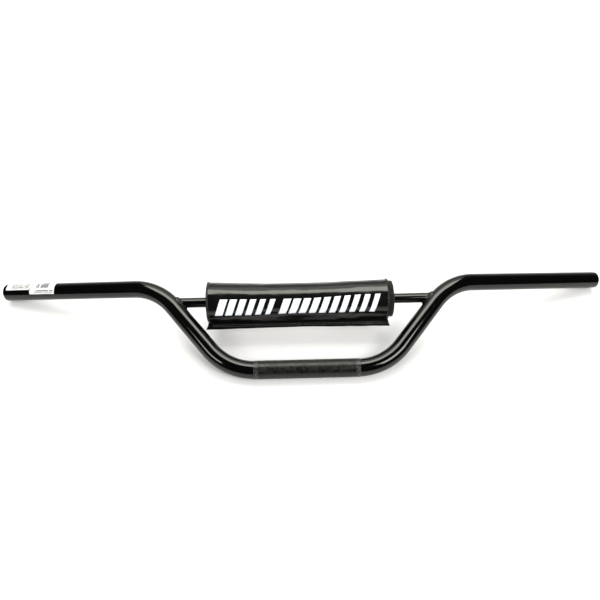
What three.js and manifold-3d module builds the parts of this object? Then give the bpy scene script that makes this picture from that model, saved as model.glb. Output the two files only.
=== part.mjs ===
// Motorcycle handlebar: a bent tube with a welded crossbar and a strapped-on crossbar pad.
//
// Units are millimetres. The bar lies on a level surface, resting on its clamp zone and on both
// tube ends. The origin is the centre of the clamp zone, +X runs along the bar to the right end,
// +Y runs from the clamp zone towards the tube ends, and +Z points up from the surface.
//
// The bends are laid out in the bar's own upright frame (x sideways, y sweep, z rise), which a
// group then tips over about X until the bar lies flat.

import * as THREE from 'three';
import { mergeVertices } from 'three/addons/utils/BufferGeometryUtils.js';
import Module from 'manifold-3d';

const wasm = await Module();
wasm.setup();

// ---------------------------------------------------------------- driving dimensions

const BAR_WIDTH = 800;
const TUBE_DIAMETER = 22.2;
const TUBE_WALL = 2.3;
const BEND_RADIUS = 73;
const INNER_BEND_X = 97;
const OUTER_BEND_X = 186;
const OUTER_BEND_RISE = 107;
const END_RISE = 123;
const END_SWEEP = 50;
// A tube end's lowest point lies this share of its radius below its centre, as the grips slant.
const END_CONTACT_SHARE = 0.983;

const CLAMP_DIAMETER = 22.8;
const CLAMP_LENGTH = 130;
const CLAMP_BEVEL = 1.2;

const CROSSBAR_DIAMETER = 12.7;
const CROSSBAR_WALL = 1.6;
const CROSSBAR_RISE = 87.5;
// The crossbar's rod stops this far short of the tube's centre line before it is cut to fit.
const CROSSBAR_STOP = 4;
const WELD_RADIUS = 3.4;
const WELD_OFFSET = 0.6;

const CORE_DIAMETER = 44.4;
const CORE_BORE = 13.8;
const CORE_LENGTH = 228;
const CORE_CENTRE_X = -4;
const CORE_SLIT = 1;

const COVER_LENGTH = 226;
const COVER_CENTRE_X = -9;
const COVER_INNER_RADIUS = 22.9;
const SHEET = 1.2;
const HEM_WIDTH = 2.4;
const HEM_PROUD = 0.5;

const CLOSURE_ANGLE = 280;
const CLOSURE_HALF_SPREAD = 27;
const CLOSURE_ROOT = 26.2;
const CLOSURE_TIP = 35.5;
const TAPE = 1;
const TAPE_MARGIN = 1.2;
const TAPE_INSET = 4;

const LABEL_THICKNESS = 0.3;
const LABELS = [
  { name: 'label_small', start: 5, end: 40.6, from: -35, to: 117 },
  { name: 'label_wide', start: 41, end: 78, from: -50, to: 148 },
];

const GAP = 0.3;
const BORE_OVERRUN = 10;
const ROUND_SIDES = 24;
const WELD_SIDES = 12;
const ARC_SEGMENTS = 16;
const BEND_STEPS = 8;

// ---------------------------------------------------------------- derived dimensions

const tubeRadius = TUBE_DIAMETER / 2;
const boreRadius = tubeRadius - TUBE_WALL;
const clampRadius = CLAMP_DIAMETER / 2;
const crossbarRadius = CROSSBAR_DIAMETER / 2;
const slope = Math.atan2(OUTER_BEND_RISE, OUTER_BEND_X - INNER_BEND_X);
const crossbarReach = INNER_BEND_X + CROSSBAR_RISE / Math.tan(slope);

// The knurled clamp zone is a little fatter than the grips, so the bar tips by that much more.
const endDistance = Math.hypot(END_RISE, END_SWEEP);
const endSag = clampRadius - tubeRadius * END_CONTACT_SHARE;
const tipAngle = -(Math.atan2(END_RISE, END_SWEEP) + Math.asin(endSag / endDistance));

const radians = THREE.MathUtils.degToRad;

// ---------------------------------------------------------------- materials

function finish(colour, roughness, metalness) {
  return new THREE.MeshStandardMaterial({ color: colour, roughness, metalness });
}

const gloss = finish(0x0b0b0c, 0.16, 0.3);
const foam = finish(0x2c2c2a, 0.95, 0);
const vinyl = finish(0x101011, 0.35, 0);
const webbing = finish(0x161616, 0.85, 0);
const tape = finish(0x1c1c1c, 0.95, 0);
const paper = finish(0xf2f1ee, 0.7, 0);

// ---------------------------------------------------------------- solids

function toSolid(geometry) {
  const bare = geometry.index ? geometry.toNonIndexed() : geometry.clone();
  bare.deleteAttribute('normal');
  bare.deleteAttribute('uv');
  const merged = mergeVertices(bare);
  return new wasm.Manifold(new wasm.Mesh({
    numProp: 3,
    vertProperties: new Float32Array(merged.attributes.position.array),
    triVerts: new Uint32Array(merged.index.array),
  }));
}

function toGeometry(solid) {
  const result = solid.getMesh();
  const geometry = new THREE.BufferGeometry();
  geometry.setAttribute('position', new THREE.BufferAttribute(result.vertProperties, 3));
  geometry.setIndex(new THREE.BufferAttribute(result.triVerts, 1));
  geometry.computeVertexNormals();
  return geometry;
}

function piece(name, geometry, material) {
  const mesh = new THREE.Mesh(geometry, material);
  mesh.name = name;
  return mesh;
}

// A polygon whose flats, not its corners, lie on the stated radius.
function acrossFlats(radius, sides = ROUND_SIDES) {
  return radius / Math.cos(Math.PI / sides);
}

function rodAlongX(radius, length) {
  const rod = new THREE.CylinderGeometry(acrossFlats(radius), acrossFlats(radius), length, ROUND_SIDES);
  rod.rotateY(Math.PI / ROUND_SIDES);
  return rod.rotateZ(Math.PI / 2);
}

// ---------------------------------------------------------------- the bent tube

// A centre line given as stations, each with its own point and direction.
class StationLine extends THREE.Curve {
  constructor(stations) {
    super();
    this.stations = stations;
  }

  at(u) {
    return this.stations[Math.round(u * (this.stations.length - 1))];
  }

  getPointAt(u, target = new THREE.Vector3()) {
    return target.copy(this.at(u).point);
  }

  getTangentAt(u, target = new THREE.Vector3()) {
    return target.copy(this.at(u).direction);
  }
}

// The stations of a round bend where two straight runs would meet at a corner.
function bendStations(before, corner, after) {
  const incoming = corner.clone().sub(before).normalize();
  const outgoing = after.clone().sub(corner).normalize();
  const turn = incoming.angleTo(outgoing);
  const start = corner.clone().addScaledVector(incoming, -BEND_RADIUS * Math.tan(turn / 2));
  const inward = outgoing.clone().addScaledVector(incoming, -outgoing.dot(incoming)).normalize();
  return Array.from({ length: BEND_STEPS + 1 }, (_, i) => {
    const angle = (turn * i) / BEND_STEPS;
    const point = start.clone().addScaledVector(inward, BEND_RADIUS * (1 - Math.cos(angle)));
    point.addScaledVector(incoming, BEND_RADIUS * Math.sin(angle));
    const direction = incoming.clone().multiplyScalar(Math.cos(angle));
    direction.addScaledVector(inward, Math.sin(angle));
    return { point, direction };
  });
}

const mirrored = (v) => new THREE.Vector3(-v.x, v.y, v.z);
const rightCorners = [
  new THREE.Vector3(INNER_BEND_X, 0, 0),
  new THREE.Vector3(OUTER_BEND_X, 0, OUTER_BEND_RISE),
  new THREE.Vector3(BAR_WIDTH / 2, END_SWEEP, END_RISE),
];
const corners = [...rightCorners.map(mirrored).reverse(), ...rightCorners];

// The whole centre line from the left end to the right, run past both ends by overrun.
function tubeLine(overrun) {
  const last = corners.length - 1;
  const firstWay = corners[1].clone().sub(corners[0]).normalize();
  const lastWay = corners[last].clone().sub(corners[last - 1]).normalize();
  const stations = [{ point: corners[0].clone().addScaledVector(firstWay, -overrun), direction: firstWay }];
  for (let i = 1; i < last; i += 1) {
    stations.push(...bendStations(corners[i - 1], corners[i], corners[i + 1]));
  }
  stations.push({ point: corners[last].clone().addScaledVector(lastWay, overrun), direction: lastWay });
  return new StationLine(stations);
}

function sweptRound(radius, overrun = 0) {
  const section = new THREE.Shape();
  section.absarc(0, 0, acrossFlats(radius), 0, 2 * Math.PI);
  const line = tubeLine(overrun);
  return new THREE.ExtrudeGeometry(section, {
    steps: line.stations.length - 1,
    curveSegments: ROUND_SIDES / 2,
    extrudePath: line,
  });
}

function clampSleeve() {
  const half = CLAMP_LENGTH / 2;
  const inner = tubeRadius - GAP;
  const profile = [
    new THREE.Vector2(0, -half),
    new THREE.Vector2(acrossFlats(inner), -half),
    new THREE.Vector2(acrossFlats(clampRadius), -half + CLAMP_BEVEL),
    new THREE.Vector2(acrossFlats(clampRadius), half - CLAMP_BEVEL),
    new THREE.Vector2(acrossFlats(inner), half),
    new THREE.Vector2(0, half),
  ];
  const sleeve = new THREE.LatheGeometry(profile, ROUND_SIDES);
  sleeve.rotateZ(Math.PI / 2);
  // A flat of the sleeve faces straight down once the bar lies on its surface.
  return sleeve.rotateX(-tipAngle + Math.PI / ROUND_SIDES);
}

function mainTube() {
  const body = toSolid(sweptRound(tubeRadius)).add(toSolid(clampSleeve()));
  return toGeometry(body.subtract(toSolid(sweptRound(boreRadius, BORE_OVERRUN))));
}

// ---------------------------------------------------------------- crossbar and welds

const tubeClearance = toSolid(sweptRound(tubeRadius + GAP));

function crossbar() {
  const length = 2 * (crossbarReach - CROSSBAR_STOP);
  const outside = toSolid(rodAlongX(crossbarRadius, length).translate(0, 0, CROSSBAR_RISE));
  const inside = rodAlongX(crossbarRadius - CROSSBAR_WALL, length + 2 * BORE_OVERRUN);
  const hollow = outside.subtract(toSolid(inside.translate(0, 0, CROSSBAR_RISE)));
  return toGeometry(hollow.subtract(tubeClearance));
}

// How far out along X the sloping tube's near side lies, at an offset from the crossbar's axis.
function slopeSurfaceX(y, z) {
  const depth = Math.sqrt(tubeRadius ** 2 - y ** 2);
  return crossbarReach + (z * Math.cos(slope) - depth) / Math.sin(slope);
}

// The fillet weld: a ring laid around the crossbar and sheared to follow the sloping tube.
function weld() {
  const ring = new THREE.TorusGeometry(crossbarRadius + WELD_OFFSET, WELD_RADIUS, WELD_SIDES, ROUND_SIDES);
  ring.rotateY(Math.PI / 2);
  const places = ring.attributes.position;
  for (let i = 0; i < places.count; i += 1) {
    const reach = Math.hypot(places.getY(i), places.getZ(i));
    const y = (places.getY(i) / reach) * crossbarRadius;
    const z = (places.getZ(i) / reach) * crossbarRadius;
    places.setX(i, places.getX(i) + slopeSurfaceX(y, z));
  }
  ring.translate(0, 0, CROSSBAR_RISE);
  const core = rodAlongX(crossbarRadius + GAP, 2 * crossbarReach).translate(0, 0, CROSSBAR_RISE);
  return toSolid(ring).subtract(toSolid(core)).subtract(tubeClearance);
}

// ---------------------------------------------------------------- the pad's cross-section

// Sections are drawn looking along +X, around the crossbar's axis, with the closure on local +X.

const coverOuterRadius = COVER_INNER_RADIUS + SHEET;
const tapeInner = GAP / 2;
const tapeOuter = tapeInner + TAPE;
const flangeInner = tapeOuter + GAP;
const flangeOuter = flangeInner + SHEET;
const spread = radians(CLOSURE_HALF_SPREAD);

function extruded(shape, length, centre) {
  const settings = { depth: length, curveSegments: ARC_SEGMENTS, bevelEnabled: false };
  const solid = new THREE.ExtrudeGeometry(shape, settings);
  return solid.translate(0, 0, centre - length / 2);
}

function coreSection() {
  const outer = CORE_DIAMETER / 2;
  const inner = CORE_BORE / 2;
  const outerHalf = Math.asin(CORE_SLIT / 2 / outer);
  const innerHalf = Math.asin(CORE_SLIT / 2 / inner);
  const shape = new THREE.Shape();
  shape.absarc(0, 0, outer, outerHalf, 2 * Math.PI - outerHalf, false);
  shape.absarc(0, 0, inner, 2 * Math.PI - innerHalf, innerHalf, true);
  return shape;
}

// The sheet goes once around the core, with one edge turned out as the fixed closure flange.
function coverSection() {
  const shape = new THREE.Shape();
  shape.absarc(0, 0, coverOuterRadius, spread, 2 * Math.PI - spread, false);
  shape.lineTo(CLOSURE_ROOT - GAP, -flangeOuter);
  shape.lineTo(CLOSURE_ROOT - GAP, -flangeInner);
  shape.absarc(0, 0, COVER_INNER_RADIUS, 2 * Math.PI - spread, spread, true);
  shape.lineTo(CLOSURE_ROOT - GAP, flangeInner);
  shape.lineTo(CLOSURE_TIP, flangeInner);
  shape.lineTo(CLOSURE_TIP, flangeOuter);
  shape.lineTo(CLOSURE_ROOT, flangeOuter);
  return shape;
}

function hemSection() {
  const outer = coverOuterRadius + HEM_PROUD;
  const inner = COVER_INNER_RADIUS - GAP;
  const shape = new THREE.Shape();
  shape.absarc(0, 0, outer, spread, 2 * Math.PI - spread, false);
  shape.absarc(0, 0, inner, 2 * Math.PI - spread, spread, true);
  return shape;
}

function stripSection(inside, outside, margin) {
  const shape = new THREE.Shape();
  shape.moveTo(CLOSURE_ROOT + margin, inside);
  shape.lineTo(CLOSURE_TIP - margin, inside);
  shape.lineTo(CLOSURE_TIP - margin, outside);
  shape.lineTo(CLOSURE_ROOT + margin, outside);
  return shape;
}

// ---------------------------------------------------------------- labels

// A paper label wrapped part of the way around the left grip.
function labelOnGrip({ name, start, end, from, to }) {
  const shape = new THREE.Shape();
  const inner = acrossFlats(tubeRadius) + GAP;
  shape.absarc(0, 0, inner + LABEL_THICKNESS, radians(from), radians(to), false);
  shape.absarc(0, 0, inner, radians(to), radians(from), true);
  return piece(name, extruded(shape, end - start, (start + end) / 2), paper);
}

// ---------------------------------------------------------------- assembly

const handlebar = new THREE.Group();

const upright = new THREE.Group();
upright.rotation.x = tipAngle;
handlebar.add(upright);

upright.add(piece('main_tube', mainTube(), gloss));
upright.add(piece('crossbar', crossbar(), gloss));
upright.add(piece('weld_right', toGeometry(weld()), gloss));
upright.add(piece('weld_left', toGeometry(weld().mirror([1, 0, 0])), gloss));

// The pad's local frame: its z runs along the crossbar, its x points at the closure.
const pad = new THREE.Group();
const alongCrossbar = new THREE.Matrix4().makeBasis(
  new THREE.Vector3(0, 1, 0),
  new THREE.Vector3(0, 0, 1),
  new THREE.Vector3(1, 0, 0),
);
pad.quaternion.setFromRotationMatrix(alongCrossbar);
pad.rotateZ(radians(CLOSURE_ANGLE));
pad.position.set(0, 0, CROSSBAR_RISE);
upright.add(pad);

const sheetLength = COVER_LENGTH - 2 * (HEM_WIDTH + GAP);
const hemOffset = (COVER_LENGTH - HEM_WIDTH) / 2;
const tapeLength = COVER_LENGTH - 2 * TAPE_INSET;

pad.add(piece('foam_core', extruded(coreSection(), CORE_LENGTH, CORE_CENTRE_X), foam));
pad.add(piece('cover_shell', extruded(coverSection(), sheetLength, COVER_CENTRE_X), vinyl));
pad.add(piece('hem_left', extruded(hemSection(), HEM_WIDTH, COVER_CENTRE_X - hemOffset), webbing));
pad.add(piece('hem_right', extruded(hemSection(), HEM_WIDTH, COVER_CENTRE_X + hemOffset), webbing));

const loopSection = stripSection(tapeInner, tapeOuter, TAPE_MARGIN);
const hookSection = stripSection(-tapeOuter, -tapeInner, TAPE_MARGIN);
const flapSection = stripSection(-flangeOuter, -flangeInner, 0);
pad.add(piece('loop_strip', extruded(loopSection, tapeLength, COVER_CENTRE_X), tape));
pad.add(piece('hook_strip', extruded(hookSection, tapeLength, COVER_CENTRE_X), tape));
pad.add(piece('closure_flap', extruded(flapSection, sheetLength, COVER_CENTRE_X), vinyl));

// The left grip's local frame: its z runs inwards from the tube end, its x lies level.
const leftEnd = corners[0].clone().applyAxisAngle(new THREE.Vector3(1, 0, 0), tipAngle);
const leftBend = corners[1].clone().applyAxisAngle(new THREE.Vector3(1, 0, 0), tipAngle);
const inwards = leftBend.clone().sub(leftEnd).normalize();
const level = new THREE.Vector3(0, 0, 1).cross(inwards).normalize();
const leftGrip = new THREE.Group();
leftGrip.quaternion.setFromRotationMatrix(
  new THREE.Matrix4().makeBasis(level, inwards.clone().cross(level), inwards),
);
leftGrip.position.copy(leftEnd);
LABELS.forEach((label) => leftGrip.add(labelOnGrip(label)));
handlebar.add(leftGrip);

export default handlebar;
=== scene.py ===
"""A motorcycle handlebar on a pale floor: a gloss black bent bar with a padded crossbar.

Lengths are in metres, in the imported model's frame. The origin is the centre of the clamp zone, +X
runs along the bar to its right end, +Y from the clamp zone towards the tube ends, and +Z is up.
"""

import math

import bpy
import numpy as np
from mathutils import Matrix, Vector, noise


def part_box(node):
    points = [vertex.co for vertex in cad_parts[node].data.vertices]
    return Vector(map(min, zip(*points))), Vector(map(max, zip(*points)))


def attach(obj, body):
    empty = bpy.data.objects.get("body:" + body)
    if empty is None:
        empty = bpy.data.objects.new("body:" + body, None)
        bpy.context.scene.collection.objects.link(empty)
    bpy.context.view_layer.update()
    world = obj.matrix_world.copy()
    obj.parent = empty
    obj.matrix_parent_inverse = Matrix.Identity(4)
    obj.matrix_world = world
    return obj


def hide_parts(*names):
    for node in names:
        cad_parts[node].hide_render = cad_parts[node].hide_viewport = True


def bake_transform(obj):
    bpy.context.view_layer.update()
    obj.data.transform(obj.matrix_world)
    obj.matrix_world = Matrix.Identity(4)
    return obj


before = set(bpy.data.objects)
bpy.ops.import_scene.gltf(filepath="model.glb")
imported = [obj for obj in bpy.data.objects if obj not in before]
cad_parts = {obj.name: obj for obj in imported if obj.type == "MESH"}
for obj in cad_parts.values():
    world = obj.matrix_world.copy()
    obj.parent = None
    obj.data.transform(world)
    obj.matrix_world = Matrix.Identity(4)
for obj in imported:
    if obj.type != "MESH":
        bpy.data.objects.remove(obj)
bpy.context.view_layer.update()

# ------------ driving dimensions

MM = 0.001

# The bar, in its own upright frame: x sideways, y sweep, z rise.
HALF_WIDTH = 400 * MM
TUBE_RADIUS = 11.1 * MM
BORE_RADIUS = 8.8 * MM
BEND_RADIUS = 73 * MM
INNER_BEND_X = 97 * MM
OUTER_BEND_X = 186 * MM
OUTER_BEND_RISE = 107 * MM
END_RISE = 123 * MM
END_SWEEP = 50 * MM
END_ROUNDING = 1.0 * MM
GRIP_CONTACT = 0.983

CLAMP_RADIUS = 11.4 * MM
CLAMP_LENGTH = 130 * MM
KNURL_LENGTH = 121 * MM
KNURL_STARTS = 48
KNURL_DEPTH = 0.13 * MM
KNURL_FADE = 1.5 * MM

CROSSBAR_RADIUS = 6.35 * MM
CROSSBAR_RISE = 87.5 * MM
WELD_LEG = 1.9 * MM
WELD_RIPPLES = 26

# The pad, seen along +X: u points from the crossbar's axis at the closure, v is square to it.
CLOSURE_ANGLE = math.radians(280)
COVER_LEFT = -122 * MM
COVER_RIGHT = 104 * MM
CORE_LEFT = -118 * MM
CORE_RIGHT = 110 * MM
CORE_ROUNDING = 1.4 * MM
CORE_SLACK = 0.9 * MM
CORE_SLIT = 1.0 * MM
BORE_FIT = 0.25 * MM
SHEET = 1.2 * MM
COVER_EDGE = 0.6 * MM
ROUGH_GIRTH = 150 * MM
WAIST_X = -6 * MM
WAIST_RADIUS = 22.2 * MM
WAIST_SPREAD = 60 * MM
END_FLARE = 3.0 * MM
CLOSURE_SPREAD = math.radians(27)
FOLD_U = 26.0 * MM
FIN_TIP_U = 34.4 * MM
FIN_FACE_V = 2.6 * MM
FIN_DRAWN_IN = 1.4 * MM
TAPE_FROM_U = 27.4 * MM
TAPE_TO_U = 32.0 * MM
TAPE_INSET = 4 * MM
HEM_WIDTH = 2.4 * MM
HEM_PROUD = 0.42 * MM
HEM_STITCHES = 74
THREAD_RADIUS = 0.27 * MM
COVER_ROWS = 170
COVER_COLUMNS = 190

# Each label runs from start to end along the grip and from one angle to another round it.
LABELS = [
    {"name": "label_small", "start": 5 * MM, "end": 40.6 * MM, "from": -35, "to": 117, "code": 0.0},
    {"name": "label_wide", "start": 41 * MM, "end": 78 * MM, "from": -50, "to": 148, "code": 1.0},
]

# ------------ derived places

end_sag = CLAMP_RADIUS - TUBE_RADIUS * GRIP_CONTACT
tip = -(math.atan2(END_RISE, END_SWEEP) + math.asin(end_sag / math.hypot(END_RISE, END_SWEEP)))
lie_down = Matrix.Rotation(tip, 3, "X")
slope = math.atan2(OUTER_BEND_RISE, OUTER_BEND_X - INNER_BEND_X)
crossbar_reach = INNER_BEND_X + CROSSBAR_RISE / math.tan(slope)
crossbar_middle = lie_down @ Vector((0, 0, CROSSBAR_RISE))
PAD_AXIS = np.array([0, crossbar_middle.y, crossbar_middle.z])
closure = CLOSURE_ANGLE + tip
U_WAY = np.array([0, math.cos(closure), math.sin(closure)])
V_WAY = np.array([0, -math.sin(closure), math.cos(closure)])
cover_middle = (COVER_LEFT + COVER_RIGHT) / 2
cover_half = (COVER_RIGHT - COVER_LEFT) / 2
cover_xs = np.linspace(COVER_LEFT + COVER_EDGE, COVER_RIGHT - COVER_EDGE, COVER_ROWS)
floor_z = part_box("main_tube")[0].z

# ------------ mesh helpers


def make_piece(name, mesh, material, body=None, replaced=()):
    """Shades a mesh smooth, and hangs it on its body."""
    piece = bpy.data.objects.new(name, mesh)
    bpy.context.scene.collection.objects.link(piece)
    mesh.materials.append(material)
    mesh.polygons.foreach_set("use_smooth", [True] * len(mesh.polygons))
    if body:
        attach(piece, body)
    if replaced:
        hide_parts(*replaced)
    return piece


def grid_faces(rows, columns, joined_rows, joined_columns, first=0):
    """The quads between the points of a grid, which may close on itself either way."""
    index = first + np.arange(rows * columns).reshape(rows, columns)
    if joined_rows:
        index = np.vstack([index, index[:1]])
    if joined_columns:
        index = np.hstack([index, index[:, :1]])
    quads = np.stack([index[:-1, :-1], index[:-1, 1:], index[1:, 1:], index[1:, :-1]], axis=-1)
    return quads.reshape(-1, 4).tolist()


def mesh_from(name, points, faces):
    """A closed mesh with its faces pointing out."""
    mesh = bpy.data.meshes.new(name)
    mesh.from_pydata(np.asarray(points, float).reshape(-1, 3).tolist(), [], faces)
    mesh.validate()
    outward(mesh)
    return mesh


def outward(mesh):
    """Turns a closed mesh inside out if its faces point in."""
    mesh.calc_loop_triangles()
    corners = np.array([v.co for v in mesh.vertices])
    tris = np.array([t.vertices for t in mesh.loop_triangles])
    a, b, c = (corners[tris[:, k]] for k in range(3))
    if np.einsum("ij,ij->i", a, np.cross(b, c)).sum() < 0:
        mesh.flip_normals()


def loft(name, rings, joined=False):
    """A closed skin over a row of closed rings, capped at both ends or joined end to end."""
    rings = np.asarray(rings, float)
    count, around = rings.shape[:2]
    faces = grid_faces(count, around, joined, True)
    if not joined:
        faces.append(list(range(around))[::-1])
        faces.append([(count - 1) * around + k for k in range(around)])
    return mesh_from(name, rings, faces)


def normals_of(grid, joined_columns=False):
    """Unit normals of a grid of points, by differences."""
    along = np.gradient(grid, axis=0)
    if joined_columns:
        across = np.roll(grid, -1, axis=1) - np.roll(grid, 1, axis=1)
    else:
        across = np.gradient(grid, axis=1)
    square = np.cross(along, across)
    return square / np.maximum(np.linalg.norm(square, axis=2, keepdims=True), 1e-12)


def slab_faces(rows, columns, first=0):
    """The faces of a closed sheet whose outer grid of points is followed by its inner one."""
    total = rows * columns
    faces = grid_faces(rows, columns, False, False, first)
    faces += [quad[::-1] for quad in grid_faces(rows, columns, False, False, first + total)]
    index = first + np.arange(total).reshape(rows, columns)
    rim = [*index[0, :], *index[1:, -1], *index[-1, -2::-1], *index[-2:0:-1, 0]]
    for k, here in enumerate(rim):
        beyond = rim[(k + 1) % len(rim)]
        faces.append([int(beyond), int(here), int(here) + total, int(beyond) + total])
    return faces


def slab(name, outer, inner):
    """A closed sheet between two matching grids of points, with a rim all round."""
    points = np.concatenate([outer.reshape(-1, 3), inner.reshape(-1, 3)])
    return mesh_from(name, points, slab_faces(*outer.shape[:2]))


def mark(mesh, name, values):
    """Stores a number at each point of a mesh, for its finish."""
    mesh.attributes.new(name, "FLOAT", "POINT").data.foreach_set("value", values)


def ripple(x, y, z=0.0):
    """Smooth noise from about -1 to 1 at a place, which is in wavelengths."""
    return noise.noise(Vector((x, y, z)))


def smooth_step(value, low, high):
    """Rises gently from 0 at low to 1 at high."""
    share = np.clip((value - low) / (high - low), 0, 1)
    return share * share * (3 - 2 * share)


# ------------ materials


# At this scale a wave texture draws about one rib to a unit of length.
RIB_SCALE = 0.32


class Finish:
    """A material's node tree, with short calls for the nodes that the finishes share."""

    def __init__(self, name, **sockets):
        self.material = bpy.data.materials.new(name)
        self.material.use_nodes = True
        self.tree = self.material.node_tree
        self.shader = self.tree.nodes["Principled BSDF"]
        self.place = self.node("ShaderNodeTexCoord").outputs["Object"]
        for socket, value in sockets.items():
            self.set(socket.replace("_", " "), value)

    def node(self, kind, inputs=None, **settings):
        made = self.tree.nodes.new(kind)
        for key, value in settings.items():
            setattr(made, key, value)
        for socket, value in (inputs or {}).items():
            self.feed(made.inputs[socket], value)
        return made

    def feed(self, socket, value):
        if isinstance(value, bpy.types.NodeSocket):
            self.tree.links.new(value, socket)
        else:
            socket.default_value = value

    def set(self, socket, value):
        self.feed(self.shader.inputs[socket], value)

    def scaled(self, size, stretch=(1, 1, 1)):
        scale = [1 / (size * s) for s in stretch]
        return self.node("ShaderNodeMapping", {"Vector": self.place, "Scale": scale}).outputs[0]

    def noise(self, size, detail=3.0, roughness=0.5, stretch=(1, 1, 1)):
        inputs = {"Vector": self.scaled(size, stretch), "Scale": 1.0, "Detail": detail}
        inputs["Roughness"] = roughness
        return self.node("ShaderNodeTexNoise", inputs).outputs["Fac"]

    def cells(self, size):
        inputs = {"Vector": self.scaled(size), "Scale": 1.0}
        return self.node("ShaderNodeTexVoronoi", inputs).outputs["Distance"]

    def weave(self, size, direction):
        """Ribs about one size apart."""
        inputs = {"Vector": self.scaled(size), "Scale": RIB_SCALE}
        return self.node("ShaderNodeTexWave", inputs, bands_direction=direction).outputs["Fac"]

    def attribute(self, name):
        return self.node("ShaderNodeAttribute", attribute_name=name).outputs["Fac"]

    def drawn(self, number):
        """A random value from 0 to 1 for each whole number."""
        inputs = {"W": self.math("FLOOR", number)}
        made = self.node("ShaderNodeTexWhiteNoise", inputs, noise_dimensions="1D")
        return made.outputs["Value"]

    def span(self, value, start, end, low, high):
        """Carries start..end over to low..high."""
        inputs = {0: value, 1: start, 2: end, 3: low, 4: high}
        return self.node("ShaderNodeMapRange", inputs).outputs[0]

    def math(self, operation, a, b=0.0):
        return self.node("ShaderNodeMath", {0: a, 1: b}, operation=operation).outputs[0]

    def times(self, a, b):
        return self.math("MULTIPLY", a, b)

    def plus(self, a, b):
        return self.math("ADD", a, b)

    def inside(self, value, low, high):
        """1 where the value is between low and high, 0 elsewhere."""
        return self.times(self.math("GREATER_THAN", value, low), self.math("LESS_THAN", value, high))

    def mix(self, share, a, b):
        made = self.node("ShaderNodeMix", data_type="RGBA")
        self.feed(made.inputs[0], share)
        self.feed(made.inputs[6], a)
        self.feed(made.inputs[7], b)
        return made.outputs[2]

    def bump(self, height, depth, strength=1.0):
        """Adds a relief of that depth in metres on top of the reliefs added so far."""
        inputs = {"Height": height, "Distance": depth, "Strength": strength}
        made = self.node("ShaderNodeBump", inputs)
        if self.shader.inputs["Normal"].is_linked:
            self.feed(made.inputs["Normal"], self.shader.inputs["Normal"].links[0].from_socket)
        self.set("Normal", made.outputs[0])


def grey(value, blue=1.0):
    """A grey whose blue is scaled, which makes it cooler or warmer."""
    return (value, value, value * blue, 1.0)


# Warm tint of the light that the black finishes throw back.
WARM_SHEEN = (0.99, 1.0, 0.94, 1.0)
# Spacing of the leathercloth's pebbles.
GRAIN_SIZE = 0.85 * MM


def enamel():
    """Gloss black enamel: faint orange peel, rubbed patches and a little dust."""
    dust_spacing = 1.7 * MM
    patch_size = 60 * MM
    peel_size = 2.6 * MM
    haze_size = 0.5 * MM
    made = Finish("gloss_enamel", IOR=1.5, Specular_IOR_Level=0.36, Specular_Tint=WARM_SHEEN)
    dust = made.span(made.cells(dust_spacing), 0.0, 0.09, 1.0, 0.0)
    rubbed = made.noise(patch_size, 4, 0.6, (3, 1, 1))
    made.set("Base Color", made.mix(made.times(dust, 0.35), grey(0.0012, 1.1), grey(0.012)))
    worn = made.span(rubbed, 0.35, 0.75, 0.06, 0.12)
    made.set("Roughness", made.plus(worn, made.times(dust, 0.15)))
    made.bump(made.noise(peel_size, 2), 0.012 * MM)
    made.bump(made.noise(haze_size, 2), 0.0015 * MM)
    return made.material


def knurled():
    """Satin black: crests rubbed smoother than the grooves, which painted shade darkens, and scuffed
    end bands lightened by a painted highlight.
    """
    grime_size = 3.5 * MM
    scuff_and_highlight_size = 1.6 * MM
    grit_size = 0.35 * MM
    made = Finish("clamp_satin", IOR=1.5, Specular_IOR_Level=0.32, Specular_Tint=WARM_SHEEN)
    crest = made.attribute("crest")
    band = made.attribute("band")
    grime = made.noise(grime_size, 5, 0.65)
    crown = made.mix(made.span(grime, 0.42, 0.64, 0.0, 1.0), grey(0.0015, 0.8), grey(0.011, 0.8))
    # Painted shade: the grooves are darker than the crests.
    groove_shaded_coat = made.mix(crest, grey(0.001), crown)
    scuffs_and_highlight = made.span(made.noise(scuff_and_highlight_size, 4, 0.7), 0.45, 0.7, 0.0, 1.0)
    # The plain end bands get lighter speckle: scuffs with a painted highlight.
    made.set("Base Color", made.mix(made.times(band, scuffs_and_highlight), groove_shaded_coat, grey(0.10)))
    rough = made.span(crest, 0.0, 1.0, 0.42, 0.24)
    made.set("Roughness", made.plus(rough, made.span(grime, 0.38, 0.66, -0.08, 0.2)))
    made.bump(made.noise(grit_size, 3), 0.008 * MM)
    return made.material


def vinyl():
    """Semi-gloss black leathercloth: pebbled grain, hairline creases and handling marks."""
    mark_size = 24 * MM
    crease_size = 5 * MM
    made = Finish("black_leathercloth", IOR=1.5, Specular_IOR_Level=0.35, Specular_Tint=WARM_SHEEN)
    pebble = made.cells(GRAIN_SIZE)
    handled = made.noise(mark_size, 4, 0.6)
    shade = made.mix(handled, grey(0.0012), grey(0.0035))
    made.set("Base Color", made.mix(made.span(pebble, 0.2, 0.9, 0.0, 0.5), shade, grey(0.006)))
    made.set("Roughness", made.span(handled, 0.3, 0.7, 0.12, 0.2))
    made.bump(pebble, -0.01 * MM)
    made.bump(made.noise(crease_size, 5, 0.6, (1.6, 1, 1)), 0.05 * MM)
    return made.material


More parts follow.
